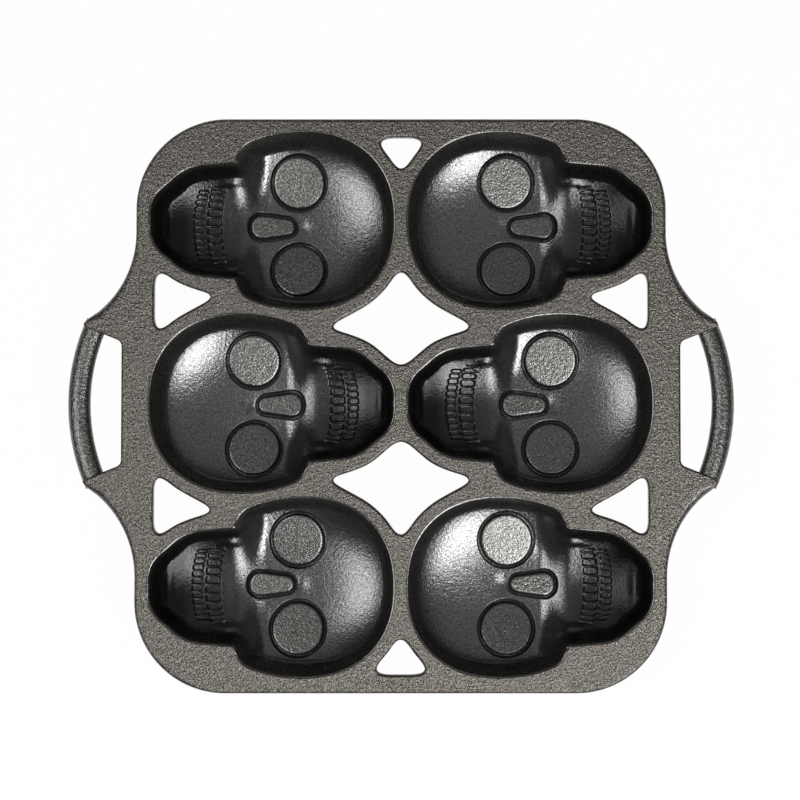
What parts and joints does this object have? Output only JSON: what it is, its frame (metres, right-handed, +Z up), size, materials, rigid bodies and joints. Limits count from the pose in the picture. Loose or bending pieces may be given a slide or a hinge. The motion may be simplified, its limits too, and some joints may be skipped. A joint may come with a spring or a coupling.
{
  "type": "skull cake pan",
  "caption": "Cast baking pan with skull-shaped cups sunk in a flat deck, web holes between the cups and a curved grip bar at each side.",
  "frame": {"origin": "on the standing plane, below the middle of the deck", "axes": "+X across the pan towards one grip bar, +Y towards the back row of cups, +Z up out of the cups"},
  "size_m": [0.3826, 0.3288, 0.0375],
  "materials": {
    "cast_iron": "seasoned sand-cast surface, satin black-grey"
  },
  "bodies": {
    "root": {"deck_plate": "cast_iron", "skull_cup_back_left": "cast_iron", "skull_cup_back_right": "cast_iron", "skull_cup_middle_left": "cast_iron", "skull_cup_middle_right": "cast_iron", "skull_cup_front_left": "cast_iron", "skull_cup_front_right": "cast_iron", "handle_left": "cast_iron", "handle_right": "cast_iron"}
  },
  "joints": []
}
